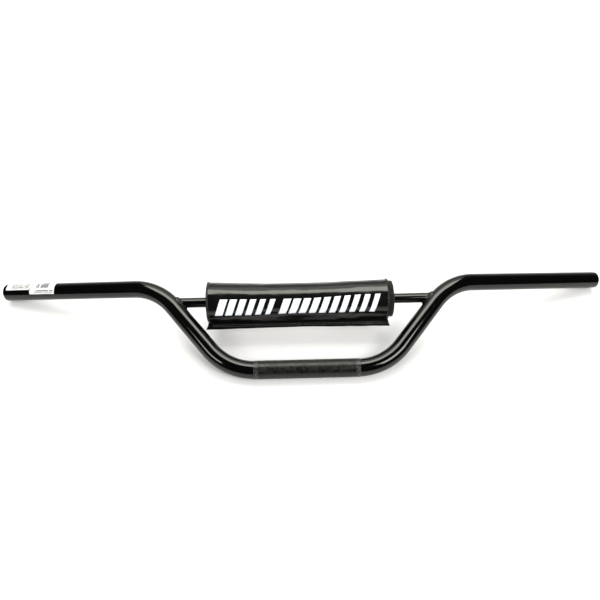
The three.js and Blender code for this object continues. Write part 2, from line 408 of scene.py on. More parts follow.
def ink():
    """White screen print: the cloth's grain shows through, with pinholes and rubbed spots."""
    pinhole_spacing = 0.9 * MM
    rub_size = 3.5 * MM
    cloud_size = 14 * MM
    film_size = 1.4 * MM
    made = Finish("white_print", Roughness=0.42, IOR=1.48)
    pinholes = made.span(made.cells(pinhole_spacing), 0.0, 0.14, 1.0, 0.0)
    rubbed = made.span(made.noise(rub_size, 5, 0.7), 0.6, 0.72, 0.0, 0.22)
    body = made.mix(made.noise(cloud_size, 3), (0.70, 0.75, 0.82, 1), (0.80, 0.83, 0.88, 1))
    made.set("Base Color", made.mix(made.math("MAXIMUM", pinholes, rubbed), body, grey(0.06)))
    made.bump(made.cells(GRAIN_SIZE), -0.03 * MM)
    made.bump(made.noise(film_size, 3), 0.03 * MM)
    return made.material


def foam():
    """Cut closed-cell foam: small open pores over a dull dark grey, with painted shade darkening the
    pores.
    """
    pore_size = 0.9 * MM
    cell_size = 0.35 * MM
    clump_size = 2.6 * MM
    made = Finish("dark_foam", Roughness=0.95, IOR=1.4, Sheen_Weight=0.1, Specular_IOR_Level=0.12)
    pores = made.cells(pore_size)
    clumps = made.span(made.noise(clump_size, 3, 0.6), 0.38, 0.62, 0.0, 1.0)
    tone = made.mix(clumps, (0.003, 0.0029, 0.0024, 1), (0.021, 0.0205, 0.017, 1))
    # Painted shade: the cell centres, which the bump sinks into pores, are darkened.
    pore_shaded_tone = made.mix(made.span(pores, 0.05, 0.4, 1.0, 0.0), tone, grey(0.003))
    # Painted shade: points that the log's dents sink deeper are darkened further.
    made.set("Base Color", made.mix(made.attribute("pore"), pore_shaded_tone, grey(0.001)))
    made.bump(pores, 0.35 * MM)
    made.bump(made.cells(cell_size), 0.12 * MM)
    return made.material


def binding():
    """Black binding tape in a fine rib weave, fuzzed along its edges."""
    rib_size = 0.5 * MM
    pick_size = 0.7 * MM
    fuzz_size = 0.4 * MM
    made = Finish("black_binding", Roughness=0.85, Sheen_Weight=0.01, Specular_IOR_Level=0.08)
    woven = made.times(made.weave(rib_size, "X"), made.weave(pick_size, "DIAGONAL"))
    fuzz = made.noise(fuzz_size, 4, 0.7)
    made.set("Base Color", made.mix(made.times(woven, fuzz), grey(0.0012), grey(0.012)))
    made.bump(woven, 0.12 * MM)
    made.bump(fuzz, 0.08 * MM)
    return made.material


def thread():
    """Twisted black polyester thread."""
    twist_size = 0.22 * MM
    made = Finish("black_thread", Roughness=0.45, Sheen_Weight=0.2)
    twist = made.weave(twist_size, "DIAGONAL")
    made.set("Base Color", made.mix(twist, grey(0.015), grey(0.09)))
    made.bump(twist, 0.04 * MM)
    return made.material


def touch_tape(name, size, depth, low, high):
    """One side of hook-and-loop tape: a dull pile of fine nylon over a knitted ground."""
    lint_size = 2.2 * MM
    made = Finish(name, Roughness=0.75, Sheen_Weight=0.5, Sheen_Roughness=0.5)
    pile = made.cells(size)
    lint = made.noise(lint_size, 4, 0.7)
    tone = made.mix(made.span(lint, 0.5, 0.8, 0.0, 0.5), grey(low), grey(high))
    ground = grey(low * 0.5)
    made.set("Base Color", made.mix(made.span(pile, 0.1, 0.6, 0.0, 1.0), tone, ground))
    made.bump(pile, -depth)
    made.bump(made.noise(size * 0.4, 3), depth * 0.4)
    return made.material


def paper():
    """White label paper with grey rules and a code of plain bars, which carry no words."""
    fibre_size = 0.6 * MM
    rule_rows = 15.0
    dashes_per_row = 22.0
    row_stride = 40.0
    bar_count = 16.0
    made = Finish("label_paper", Roughness=0.5, IOR=1.45)
    place = made.node("ShaderNodeUVMap").outputs[0]
    parts = made.node("ShaderNodeSeparateXYZ", {0: place}).outputs
    along, around = parts[0], parts[1]
    code = made.attribute("code")
    fibre = made.noise(fibre_size, 4, 0.7)
    sheet = made.mix(fibre, (0.64, 0.64, 0.64, 1), (0.72, 0.72, 0.71, 1))

    # Broken rules, which start lower down on the label that has a code.
    row = made.times(around, rule_rows)
    rules = made.math("LESS_THAN", made.math("FRACT", row), 0.6)
    top = made.plus(0.5, made.times(code, 0.35))
    below_top = made.math("GREATER_THAN", around, top)
    block = made.times(made.inside(around, 0.3, 0.95), made.inside(along, 0.2, 0.95))
    stride = made.times(made.math("FLOOR", row), row_stride)
    dash = made.plus(made.times(along, dashes_per_row), stride)
    printed_dash = made.math("GREATER_THAN", made.drawn(dash), 0.2)
    lines = made.times(made.times(rules, below_top), made.times(block, printed_dash))

    # Two groups of bars of uneven thickness.
    step = made.times(along, bar_count)
    thick = made.span(made.drawn(step), 0.0, 1.0, 0.6, 0.85)
    groups = made.math("MAXIMUM", made.inside(along, 0.25, 0.375), made.inside(along, 0.4375, 0.75))
    bars = made.times(made.math("LESS_THAN", made.math("FRACT", step), thick), groups)
    bars = made.times(made.times(bars, made.inside(around, 0.5, 0.78)), code)

    inked = made.math("MAXIMUM", made.times(lines, 0.85), made.times(bars, 0.98))
    made.set("Base Color", made.mix(inked, sheet, grey(0.02)))
    made.bump(fibre, 0.01 * MM)
    return made.material


def pale_floor():
    """A pale painted studio floor, barely uneven, which fades into the backdrop far out."""
    cloud_size = 0.3
    speckle_size = 2 * MM
    fade_from, fade_to = 1.0, 3.0
    made = Finish("pale_floor", Roughness=0.85, Emission_Strength=1.0)
    made.set("Base Color", made.mix(made.noise(cloud_size, 4), grey(0.80), grey(0.83)))
    length = made.node("ShaderNodeVectorMath", {0: made.place}, operation="LENGTH")
    fade = made.span(length.outputs["Value"], fade_from, fade_to, 0.0, 1.0)
    made.set("Emission Color", made.mix(fade, grey(0.0), grey(0.95)))
    made.bump(made.noise(speckle_size, 3), 0.03 * MM)
    return made.material


gloss_enamel = enamel()
clamp_satin = knurled()
leathercloth = vinyl()
white_print = ink()
dark_foam = foam()
black_binding = binding()
black_thread = thread()
hook_pile = touch_tape("hook_pile", 0.7 * MM, 0.25 * MM, 0.01, 0.03)
loop_pile = touch_tape("loop_pile", 0.5 * MM, 0.35 * MM, 0.008, 0.022)
label_paper = paper()

# ------------ the bent tube


def bend(before, corner, after, steps):
    """Places and directions around the round bend at a corner."""
    incoming = (corner - before).normalized()
    outgoing = (after - corner).normalized()
    turn = incoming.angle(outgoing)
    start = corner - incoming * BEND_RADIUS * math.tan(turn / 2)
    inward = (outgoing - incoming * outgoing.dot(incoming)).normalized()
    for k in range(steps + 1):
        angle = turn * k / steps
        place = start + inward * BEND_RADIUS * (1 - math.cos(angle))
        place += incoming * BEND_RADIUS * math.sin(angle)
        yield place, incoming * math.cos(angle) + inward * math.sin(angle)


def bar_corners():
    """The corners of the bar's centre line, from its left end to its right one, as it lies."""
    right = [
        Vector((INNER_BEND_X, 0, 0)),
        Vector((OUTER_BEND_X, 0, OUTER_BEND_RISE)),
        Vector((HALF_WIDTH, END_SWEEP, END_RISE)),
    ]
    left = [Vector((-c.x, c.y, c.z)) for c in reversed(right)]
    return [lie_down @ c for c in left + right]


def centre_line(bend_steps=26, run_step=6 * MM):
    """Places and directions from the left tube end to the right one, closely spaced."""
    corners = bar_corners()
    knots = [(corners[0], (corners[1] - corners[0]).normalized())]
    for k in range(1, len(corners) - 1):
        knots += bend(corners[k - 1], corners[k], corners[k + 1], bend_steps)
    knots.append((corners[-1], (corners[-1] - corners[-2]).normalized()))
    line = [knots[0]]
    for place, way in knots[1:]:
        gap = (place - line[-1][0]).length
        pieces = max(1, round(gap / run_step))
        start = line[-1][0]
        for k in range(1, pieces):
            line.append((start.lerp(place, k / pieces), way))
        line.append((place, way))
    return line


def ring(place, side, up, radius, sides):
    """A circle of points round a place."""
    turns = [2 * math.pi * k / sides for k in range(sides)]
    return [place + (side * math.cos(turn) + up * math.sin(turn)) * radius for turn in turns]


def carried_frames(line):
    """A side and an up direction at each station, carried along without twist."""
    side = line[0][1].cross(Vector((0, 0, 1))).normalized()
    frames = []
    for _, way in line:
        side = (side - way * side.dot(way)).normalized()
        frames.append((side, way.cross(side)))
    return frames


def build_main_tube(sides=56, rounding_steps=5):
    """The bent tube, open at both ends, with its bore right through."""
    line = centre_line()
    frames = carried_frames(line)
    chamfer = (TUBE_RADIUS - BORE_RADIUS) * 0.2
    rings = []

    def add(station, radius, out=0.0):
        place, way = line[station]
        side, up = frames[station]
        rings.append(ring(place + way * out, side, up, radius, sides))

    def rounded_end(station, sign):
        """From the outside over the cut end to the bore, with a small inner chamfer."""
        for k in range(1, rounding_steps + 1):
            angle = math.pi / 2 * k / rounding_steps
            fall = END_ROUNDING * (1 - math.sin(angle))
            add(station, TUBE_RADIUS - END_ROUNDING * (1 - math.cos(angle)), -sign * fall)
        add(station, BORE_RADIUS + chamfer)
        add(station, BORE_RADIUS, -sign * chamfer)

    last = len(line) - 1
    add(0, TUBE_RADIUS, END_ROUNDING)
    for station in range(1, last):
        add(station, TUBE_RADIUS)
    add(last, TUBE_RADIUS, -END_ROUNDING)
    rounded_end(last, 1)
    for station in range(last - 1, 0, -1):
        add(station, BORE_RADIUS)
    tail = len(rings)
    rounded_end(0, -1)
    rings[tail:] = rings[tail:][::-1]
    mesh = loft("bent_tube", rings, joined=True)
    make_piece("bent_tube", mesh, gloss_enamel, "bar", ["main_tube"])


def build_clamp_sleeve(around=192, along=300):
    """The knurled clamp zone: crossed helical grooves between two plain bands."""
    half = CLAMP_LENGTH / 2
    bevel = CLAMP_RADIUS - TUBE_RADIUS
    knurl_half = KNURL_LENGTH / 2
    edge_tuck = 0.02 * MM
    inner_radius = TUBE_RADIUS - 0.05 * MM
    crest_gain = 1.5
    other_power = 0.9
    band_height = 0.75
    middle = np.linspace(-half + 2 * bevel, half - 2 * bevel, along)
    xs = np.concatenate([[-half, -half + bevel], middle, [half - bevel, half]])
    theta = np.linspace(0, 2 * np.pi, around, endpoint=False)
    grid_x, grid_t = np.meshgrid(xs, theta, indexing="ij")
    twist = grid_x / CLAMP_RADIUS

    def grooves(sign):
        phase = (KNURL_STARTS * (grid_t + sign * twist) / (2 * np.pi)) % 1.0
        return 1 - np.abs(2 * phase - 1)

    crest = np.minimum(1.0, crest_gain * grooves(1) * grooves(-1) ** other_power)
    cut = 1 - smooth_step(np.abs(grid_x), knurl_half - KNURL_FADE, knurl_half)
    radius = CLAMP_RADIUS - KNURL_DEPTH * (1 - crest) * cut
    radius[[0, -1]] = TUBE_RADIUS - edge_tuck
    rings = np.stack([grid_x, radius * np.cos(grid_t), radius * np.sin(grid_t)], axis=-1)
    circle = [inner_radius * np.cos(theta), inner_radius * np.sin(theta)]
    inside = [np.stack([np.full(around, x), *circle], axis=-1) for x in (half - bevel, bevel - half)]
    mesh = loft("clamp_knurl", np.concatenate([rings, inside]), joined=True)
    hidden = np.zeros(2 * around)
    # The crest height sets the satin's roughness and its painted shade in the grooves.
    mark(mesh, "crest", np.concatenate([(crest * cut + band_height * (1 - cut)).ravel(), hidden]))
    # The plain end bands carry lighter speckle: scuffs with a painted highlight.
    mark(mesh, "band", np.concatenate([(1 - cut).ravel(), hidden]))
    make_piece("clamp_knurl", mesh, clamp_satin, "bar")


# ------------ crossbar and welds


def saddle_x(y, z):
    """How far out along X the sloping tube's near side lies, beside the crossbar's axis."""
    depth = math.sqrt(max(TUBE_RADIUS**2 - y**2, 0.0))
    return crossbar_reach + (z * math.cos(slope) - depth) / math.sin(slope)


def beside_crossbar(x, y, z):
    """The place that is y and z off the crossbar's axis in the upright frame."""
    return lie_down @ Vector((x, y, z + CROSSBAR_RISE))


def build_crossbar(sides=48, stations=60):
    """The crossbar, each end saddled to the sloping tube and let into it a little."""
    let_in = 0.8 * MM
    rings = []
    for share in np.linspace(-1, 1, stations):
        loop = []
        for k in range(sides):
            angle = 2 * math.pi * k / sides
            y, z = CROSSBAR_RADIUS * math.cos(angle), CROSSBAR_RADIUS * math.sin(angle)
            loop.append(beside_crossbar(share * (saddle_x(y, z) + let_in), y, z))
        rings.append(loop)
    mesh = loft("crossbar_tube", rings)
    make_piece("crossbar_tube", mesh, gloss_enamel, "bar", ["crossbar"])


def build_weld(side, name, node, around=182, across=9):
    """A fillet bead round the crossbar, in overlapping ripples."""
    wander = 0.07
    ripple_lean = 2.4
    bead_height, ripple_height = 0.55 * MM, 0.5 * MM
    sink_in_tube = 0.3 * MM
    sink_in_bar = 0.1 * MM
    root_radius = CROSSBAR_RADIUS - 0.5 * MM
    root_sink = 0.5 * MM
    rings = []
    for k in range(around):
        angle = 2 * math.pi * k / around
        cosine, sine = math.cos(angle), math.sin(angle)
        leg = WELD_LEG * (1 + wander * ripple(3 * cosine, 3 * sine, side))
        on_bar = saddle_x(CROSSBAR_RADIUS * cosine, CROSSBAR_RADIUS * sine) - leg
        loop = []
        for j in range(across):
            share = j / (across - 1)
            crescent = ripple_lean * (share - 0.5) ** 2
            dime = abs(math.sin(WELD_RIPPLES * angle / 2 + crescent))
            swell = math.sin(math.pi * share) * (bead_height + ripple_height * dime)
            out = CROSSBAR_RADIUS + leg * share
            on_tube = saddle_x(out * cosine, out * sine) + sink_in_tube
            x = on_bar * (1 - share) + on_tube * share - swell * 0.7
            out += swell * 0.5 - sink_in_bar
            loop.append(beside_crossbar(side * x, out * cosine, out * sine))
        y, z = root_radius * cosine, root_radius * sine
        loop.append(beside_crossbar(side * (saddle_x(y, z) + root_sink), y, z))
        rings.append(loop)
    mesh = loft(name, rings, joined=True)
    make_piece(name, mesh, gloss_enamel, "bar", [node])


# ------------ the pad's shape


def pad_place(x, u, v):
    """Points from their place along the crossbar and off its axis, as arrays."""
    along = np.multiply.outer(np.asarray(x, float), np.array([1.0, 0, 0]))
    return along + PAD_AXIS + np.multiply.outer(u, U_WAY) + np.multiply.outer(v, V_WAY)


def away_from_axis(facing, points, row, column):
    """Turns a grid's normals round if the one at that place points at the crossbar's axis."""
    outward_way = (points[row, column] - PAD_AXIS) * np.array([0, 1, 1])
    return -facing if np.dot(facing[row, column], outward_way) < 0 else facing


def cover_radius(x):
    """The cover's outside: drawn in at the middle by the closure, flared at both ends."""
    reach = np.abs(x - WAIST_X) / cover_half
    return WAIST_RADIUS + END_FLARE * reach**1.5


def closure_wave(x):
    """How far the closure fin sways to one side, and how far its edge runs out or in."""
    sway = 0.45 * MM * ripple(x / (46 * MM), 0.3) + 0.2 * MM * ripple(x / (15 * MM), 4.1)
    reach = 0.5 * MM * ripple(x / (38 * MM), 7.7) + 0.25 * MM * ripple(x / (12 * MM), 9.2)
    reach -= FIN_DRAWN_IN * math.exp(-((x - WAIST_X) / WAIST_SPREAD) ** 2)
    return sway, reach


def rounded(points, window):
    """Averages a row of points over a window, which rounds its corners but keeps its ends."""
    before = 2 * points[0] - points[window:0:-1]
    beyond = 2 * points[-1] - points[-2:-window - 2:-1]
    padded = np.concatenate([before, points, beyond])
    weights = np.hanning(2 * window + 3)[1:-1]
    weights /= weights.sum()
    return np.stack([np.convolve(padded[:, k], weights, mode="valid") for k in range(2)], axis=1)


def respaced(points, count):
    """The same row with evenly spaced points."""
    reach = np.concatenate([[0], np.cumsum(np.linalg.norm(np.diff(points, axis=0), axis=1))])
    places = np.linspace(0, reach[-1], count)
    return np.stack([np.interp(places, reach, points[:, k]) for k in range(2)], axis=1)


def cover_section(x, count):
    """The sheet's outside at x, from the fold under the print, round the core, to the fin's tip."""
    arc_points, draft_points, corner_window = 120, 300, 5
    fin_start_u = FOLD_U + 0.4 * MM
    radius = cover_radius(x)
    sway, reach = closure_wave(x)
    arc = np.linspace(CLOSURE_SPREAD, 2 * math.pi - CLOSURE_SPREAD, arc_points)
    wrap = np.stack([radius * np.cos(arc), -radius * np.sin(arc)], axis=1)
    fold = [[FOLD_U, -FIN_FACE_V + sway]]
    fin = [[fin_start_u, FIN_FACE_V + sway], [FIN_TIP_U + reach, FIN_FACE_V + sway]]
    draft = respaced(np.concatenate([fold, wrap, fin]), draft_points)
    return respaced(rounded(draft, corner_window), count)


def wrinkle(x, share):
    """How far the cover stands off its plain shape: slack, drag lines and puckers at the hems."""
    girth = ROUGH_GIRTH * share
    slack = 0.34 * MM * ripple(x / (34 * MM), girth / (17 * MM), 1.5)
    drag = 0.15 * MM * ripple(x / (17 * MM), girth / (6 * MM), 5.5)
    fine = 0.05 * MM * ripple(x / (5 * MM), girth / (3.5 * MM), 8.5)
    near_fold = math.exp(-girth / (9 * MM))
    buckle = 0.55 * MM * near_fold * ripple(x / (11 * MM), girth / (30 * MM), 2.5)
    to_hem = min(x - COVER_LEFT, COVER_RIGHT - x)
    pucker = 0.3 * MM * math.exp(-to_hem / (5 * MM)) * ripple(0.0, girth / (4 * MM), 3.5)
    return slack + drag + fine + buckle + pucker


def cover_grids():
    """The cover's outside points and normals, with its wrinkles."""
    fin_from, fin_to = 0.88, 0.94
    points = []
    for x in cover_xs:
        section = cover_section(x, COVER_COLUMNS)
        points.append(pad_place(np.full(COVER_COLUMNS, x), section[:, 0], section[:, 1]))
    points = np.array(points)
    facing = away_from_axis(-normals_of(points), points, COVER_ROWS // 2, COVER_COLUMNS // 2)
    shares = np.arange(COVER_COLUMNS) / COVER_COLUMNS
    free = 1 - smooth_step(shares, fin_from, fin_to)
    for i, x in enumerate(cover_xs):
        lift = np.array([wrinkle(x, share) for share in shares]) * free
        points[i] += facing[i] * lift[:, None]
    return points, facing


cover_outside, cover_facing = cover_grids()

# The last place on the grid that still has a neighbour beyond it.
LAST_ROW = COVER_ROWS - 1.001
LAST_COLUMN = COVER_COLUMNS - 1.001


def cover_girth():
    """The length of cloth round the cover's middle section, from the fold to the fin's tip."""
    middle = cover_section(cover_middle, COVER_COLUMNS)
    return float(np.linalg.norm(np.diff(middle, axis=0), axis=1).sum())


def on_cover(x, share, lift):
    """A point above the cover's outside, from its x and its share of the way round the section."""
    length_share = (x - cover_xs[0]) / (cover_xs[-1] - cover_xs[0])
    row = np.clip(length_share, 0, 1) * LAST_ROW
    column = np.clip(share, 0, 1) * LAST_COLUMN
    i, j = int(row), int(column)
    a, b = row - i, column - j

    def between(grid):
        near = grid[i, j] * (1 - b) + grid[i, j + 1] * b
        far = grid[i + 1, j] * (1 - b) + grid[i + 1, j + 1] * b
        return near * (1 - a) + far * a

    return between(cover_outside) + between(cover_facing) * lift


def build_cover():
    """The leathercloth sheet wrapped round the foam, with its fixed flange."""
    mesh = slab("pad_cover_sheet", cover_outside, cover_outside - cover_facing * SHEET)
    return make_piece("pad_cover_sheet", mesh, leathercloth, "pad_cover", ["cover_shell"])


def build_foam(around=170):
    """The foam log: a section swept round the crossbar, from one side of its slit to the other."""
    bore = CROSSBAR_RADIUS + BORE_FIT
    fine_step = 0.7 * MM
    fine_reach = 14 * MM
    pore_spacing = 2.4 * MM
    pore_size = 0.45
    pore_depth = 0.6 * MM
    sag_size = 7 * MM
    sag_depth = 0.25 * MM
    untouched = bore * 1.1
    xs = np.concatenate([
        np.arange(CORE_LEFT, CORE_LEFT + fine_reach, fine_step),
        np.linspace(CORE_LEFT + fine_reach, CORE_RIGHT - fine_reach, 40)[:-1],
        np.arange(CORE_RIGHT - fine_reach, CORE_RIGHT + fine_step / 2, fine_step),
    ])
    xs = np.clip(xs, CORE_LEFT, CORE_RIGHT)
    outside = cover_radius(np.clip(xs, COVER_LEFT, COVER_RIGHT)) - SHEET - CORE_SLACK
    for end in (CORE_LEFT, CORE_RIGHT):
        depth = np.clip(CORE_ROUNDING - np.abs(xs - end), 0, CORE_ROUNDING)
        outside -= CORE_ROUNDING - np.sqrt(CORE_ROUNDING**2 - depth**2)
    radial = np.linspace(0, 1, 22)[1:-1]
    right = [(CORE_RIGHT, bore + (outside[-1] - bore) * (1 - s)) for s in radial]
    left = [(CORE_LEFT, bore + (outside[0] - bore) * s) for s in radial]
    inner = [(x, bore) for x in np.linspace(CORE_RIGHT, CORE_LEFT, 20)]
    profile = np.array([*zip(xs, outside), *right, *inner, *left])
    reach = profile[:, 1]
    start = CORE_SLIT / 2 / bore
    rings = []
    for share in np.linspace(0, 1, around):
        beta = start + share * (2 * math.pi - 2 * start)
        rings.append(pad_place(profile[:, 0], reach * np.cos(beta), -reach * np.sin(beta)))
    rings = np.array(rings)
    facing = away_from_axis(normals_of(rings, joined_columns=True), rings, 40, 30)
    pores = np.zeros((around, len(profile)))
    for i in range(around):
        for j in range(len(profile)):
            if reach[j] > untouched:
                distances, _ = noise.voronoi(Vector(rings[i, j]) / pore_spacing)
                pores[i, j] = max(0.0, pore_size - distances[0]) / pore_size
                sag = ripple(*(rings[i, j] / sag_size))
                rings[i, j] -= facing[i, j] * (pore_depth * pores[i, j] - sag_depth * sag)
    mesh = loft("foam_log", rings)
    # The pore depths are kept on the mesh for the painted shade that darkens the pores in the foam's
    # finish.
    mark(mesh, "pore", pores.ravel())
    piece = make_piece("foam_log", mesh, dark_foam, "pad_core", ["foam_core"])


# ------------ hems, flap, tapes and stitches


def build_hem(side, name, node, stations=260, corners=12):
    """Binding tape folded over the cover's end, drawn in a little at each stitch."""
    edge = COVER_LEFT if side < 0 else COVER_RIGHT
    row = 0 if side < 0 else COVER_ROWS - 1
    round_from, round_to = 0.012, 0.93
    stitch_steps = 4
    draw = 0.12 * MM
    rings = []
    for k, share in enumerate(np.linspace(round_from, round_to, stations)):
        column = share * LAST_COLUMN
        j = int(column)
        blend = column - j
        base = cover_outside[row, j] * (1 - blend) + cover_outside[row, j + 1] * blend
        out = cover_facing[row, j]
        drawn = draw * math.cos(2 * math.pi * k / stitch_steps)
        if side > 0:
            frayed = 0.22 * MM * ripple(k / 3.0, side * 5.0)
        else:
            frayed = 0.08 * MM * ripple(k / 6.0, 2.0)
        loop = []
        for corner in range(corners):
            angle = 2 * math.pi * corner / corners
            across = math.copysign(abs(math.cos(angle)) ** 0.45, math.cos(angle))
            through = math.copysign(abs(math.sin(angle)) ** 0.55, math.sin(angle))
            half = HEM_WIDTH / 2 + (frayed if across * side > 0 else 0.0)
            x = edge - side * HEM_WIDTH / 2 + across * half
            lift = through * (SHEET / 2 + HEM_PROUD - drawn * (through > 0)) - SHEET / 2
            point = base + out * lift
            loop.append([x, point[1], point[2]])
        rings.append(loop)
    mesh = loft(name, rings)
    return make_piece(name, mesh, black_binding, "pad_cover", [node])


def build_flap(rows=200, columns=14):
    """The sheet's free edge, which folds at the closure and lies against the fixed flange."""
    corner_reach = 2.6 * MM
    end_gap = 0.4 * MM
    fold_gap = 0.12 * MM
    past_fin = 0.3 * MM
    belly = 0.35 * MM
    turned_edge = 0.45 * MM
    turn_from = 0.8
    inner_v = -FIN_FACE_V + SHEET - 0.1 * MM
    front = np.zeros((rows, columns, 3))
    back = np.zeros((rows, columns, 3))
    for i, share in enumerate(np.linspace(-1, 1, rows)):
        sway, reach = closure_wave(cover_middle + share * cover_half)
        for j in range(columns):
            out = j / (columns - 1)
            u = FOLD_U + fold_gap + (FIN_TIP_U + past_fin + reach - FOLD_U) * out
            x = cover_middle + share * (cover_half - end_gap + corner_reach * out**1.5)
            bulge = belly * math.sin(math.pi * out)
            round_over = turned_edge * max(0.0, (out - turn_from) / (1 - turn_from)) ** 2
            front[i, j] = pad_place(x, u, -FIN_FACE_V - bulge + sway + round_over)
            back[i, j] = pad_place(x, u, inner_v + sway)
    mesh = slab("closure_flap_sheet", front, back)
    piece = make_piece("closure_flap_sheet", mesh, leathercloth, None, ["closure_flap"])
    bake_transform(piece)
    return piece


def build_tape(name, node, body, material, v_base, v_face, pile, rows=430, columns=13):
    """A strip of hook or loop tape, its pile standing as small tufts."""
    tuft_size = 1.3 * MM
    short_tuft = 0.35
    face = np.zeros((rows, columns, 3))
    base = np.zeros((rows, columns, 3))
    for i, x in enumerate(np.linspace(COVER_LEFT + TAPE_INSET, COVER_RIGHT - TAPE_INSET, rows)):
        sway, _ = closure_wave(x)
        for j, u in enumerate(np.linspace(TAPE_FROM_U, TAPE_TO_U, columns)):
            tuft = 1.0 if (i + j) % 2 else short_tuft
            tuft *= 0.75 + 0.25 * ripple(x / tuft_size, u / tuft_size)
            if j in (0, columns - 1):
                tuft = 0.0
            face[i, j] = pad_place(x, u, v_face - pile * (1 - tuft) + sway)
            base[i, j] = pad_place(x, u, v_base + sway)
    mesh = slab(name, face, base)
    make_piece(name, mesh, material, body, [node])


def stitch_row(name, places, body, sides=6):
    """Stitches from their two ends and the way they face, as slim rounded bars of thread."""
    sections = ((0.0, 0.35), (0.12, 0.8), (0.5, 1.0), (0.88, 0.8), (1.0, 0.35))
    arch_height = THREAD_RADIUS * 0.9
    sink = THREAD_RADIUS * 0.35
    points = []
    faces = []
    for start, end, out in places:
        start, end, out = Vector(start), Vector(end), Vector(out).normalized()
        side = (end - start).normalized().cross(out).normalized()
        first = len(points)
        last = first + (len(sections) - 1) * sides
        for share, swell in sections:
            arch = math.sin(math.pi * share) * arch_height
            middle = start.lerp(end, share) + out * (arch - sink)
            points += ring(middle, side, out, THREAD_RADIUS * swell, sides)
        faces += grid_faces(len(sections), sides, False, True, first)
        faces.append(list(range(first, first + sides))[::-1])
        faces.append(list(range(last, last + sides)))
    mesh = mesh_from(name, [list(p) for p in points], faces)
    return make_piece(name, mesh, black_thread, body)


def hem_stitches():
    """A zigzag over each binding."""
    past_tape = 0.5 * MM
    on_tape, on_sheet = 0.45 * MM, 0.1 * MM
    round_from, round_share = 0.02, 0.9
    places = []
    for side, edge in ((-1, COVER_LEFT), (1, COVER_RIGHT)):
        near = edge - side * past_tape
        far = edge - side * (HEM_WIDTH + past_tape)
        for k in range(HEM_STITCHES):
            shares = [round_from + round_share * (k + step) / HEM_STITCHES for step in (0, 1)]
            spots = []
            for x, share in zip((near, far) if k % 2 else (far, near), shares):
                spot = on_cover(x, share, on_tape if x == near else on_sheet)
                spot[0] = x
                spots.append(spot)
            out = on_cover(near, shares[0], 1.0) - on_cover(near, shares[0], 0.0)
            places.append((*spots, out))
    return places


def fin_stitches(v_side):
    """Two straight rows along the fin, which hold the tape on."""
    pitch = 3.0 * MM
    length = 2.3 * MM
    rows_at_u = (TAPE_TO_U - 2.6 * MM, TAPE_TO_U - 0.7 * MM)
    first_x, last_x = COVER_LEFT + 6 * MM, COVER_RIGHT - 8 * MM
    flap_belly = 0.3 * MM
    stitch_lift = 0.05 * MM
    face = FIN_FACE_V if v_side > 0 else -FIN_FACE_V - flap_belly
    lift = 0.0 if v_side > 0 else -stitch_lift
    places = []
    for u in rows_at_u:
        for x in np.arange(first_x, last_x, pitch):
            sway, _ = closure_wave(x)
            v = face + sway + lift
            places.append((pad_place(x, u, v), pad_place(x + length, u, v), V_WAY * v_side))
    return places


# ------------ the print


def build_print(rows=7, columns=16):
    """Two groups of plain slanted bars, each bar a thin layer of ink on the cover."""
    groups = ((-112 * MM, -38 * MM, 6), (-34 * MM, 91 * MM, 10))
    slant = 7.5 * MM
    low, high = 0.094, 0.232
    climb = 0.02
    climb_from, climb_to = -20 * MM, 100 * MM
    low_edge_climb = 0.4
    widest, narrowing = 0.76, 0.24
    ink_under, ink_over = 0.01 * MM, 0.09 * MM

    def bar_grid(left, white, lift):
        for a in np.linspace(0, 1, rows):
            for b in np.linspace(0, 1, columns):
                x = left + white * a + slant * b
                rise = climb * smooth_step(x, climb_from, climb_to)
                foot = low + rise * low_edge_climb
                yield on_cover(x, foot + (high + rise - foot) * b, lift)

    points = []
    faces = []
    for start, end, bars in groups:
        pitch = (end - start) / bars
        for bar in range(bars):
            white = pitch * (widest - narrowing * bar / (bars - 1))
            faces += slab_faces(rows, columns, len(points))
            for lift in (ink_over, ink_under):
                points += bar_grid(start + bar * pitch, white, lift)
    mesh = mesh_from("pad_print", points, faces)
    return make_piece("pad_print", mesh, white_print, "pad_cover")


# ------------ labels


def build_label(label, rows=40, columns=64):
    """A paper label wrapped part of the way round the left grip, one corner lifting."""
    under = TUBE_RADIUS + 0.05 * MM
    thick = 0.12 * MM
    crinkle_depth, crinkle_size = 0.04 * MM, 6 * MM
    corner_lift = 0.7 * MM
    lift_from_a, lift_from_b = 0.8, 0.86
    end, next_corner = bar_corners()[:2]
    inwards = (next_corner - end).normalized()
    level = Vector((0, 0, 1)).cross(inwards).normalized()
    third = inwards.cross(level)
    outer = np.zeros((rows, columns, 3))
    inner = np.zeros((rows, columns, 3))
    places = []
    for i in range(rows):
        for j in range(columns):
            a, b = i / (rows - 1), j / (columns - 1)
            angle = math.radians(label["from"] + (label["to"] - label["from"]) * b)
            along = label["start"] + (label["end"] - label["start"]) * a
            crinkle = crinkle_depth * ripple(along / crinkle_size, angle * 2.0, label["code"])
            lifting = corner_lift * max(0.0, a - lift_from_a) * 5 * max(0.0, b - lift_from_b) * 7
            way = level * math.cos(angle) + third * math.sin(angle)
            foot = end + inwards * along + way * (under + abs(crinkle) + lifting)
            outer[i, j] = foot + way * thick
            inner[i, j] = foot
            places.append((a, b))
    name = label["name"] + "_paper"
    mesh = slab(name, outer, inner)
    places += places
    printed_at = [places[loop.vertex_index] for loop in mesh.loops]
    uv = mesh.uv_layers.new(name="label")
    uv.data.foreach_set("uv", [value for pair in printed_at for value in pair])
    mark(mesh, "code", [label["code"]] * len(mesh.vertices))
    make_piece(name, mesh, label_paper, "bar", [label["name"]])


# ------------ floor, lights and camera

LIGHT_TARGET = Vector((0, 0.05, 0))
LAMP_COLOUR = (1.0, 0.985, 0.94)
FLOOR_HALF = 6.0

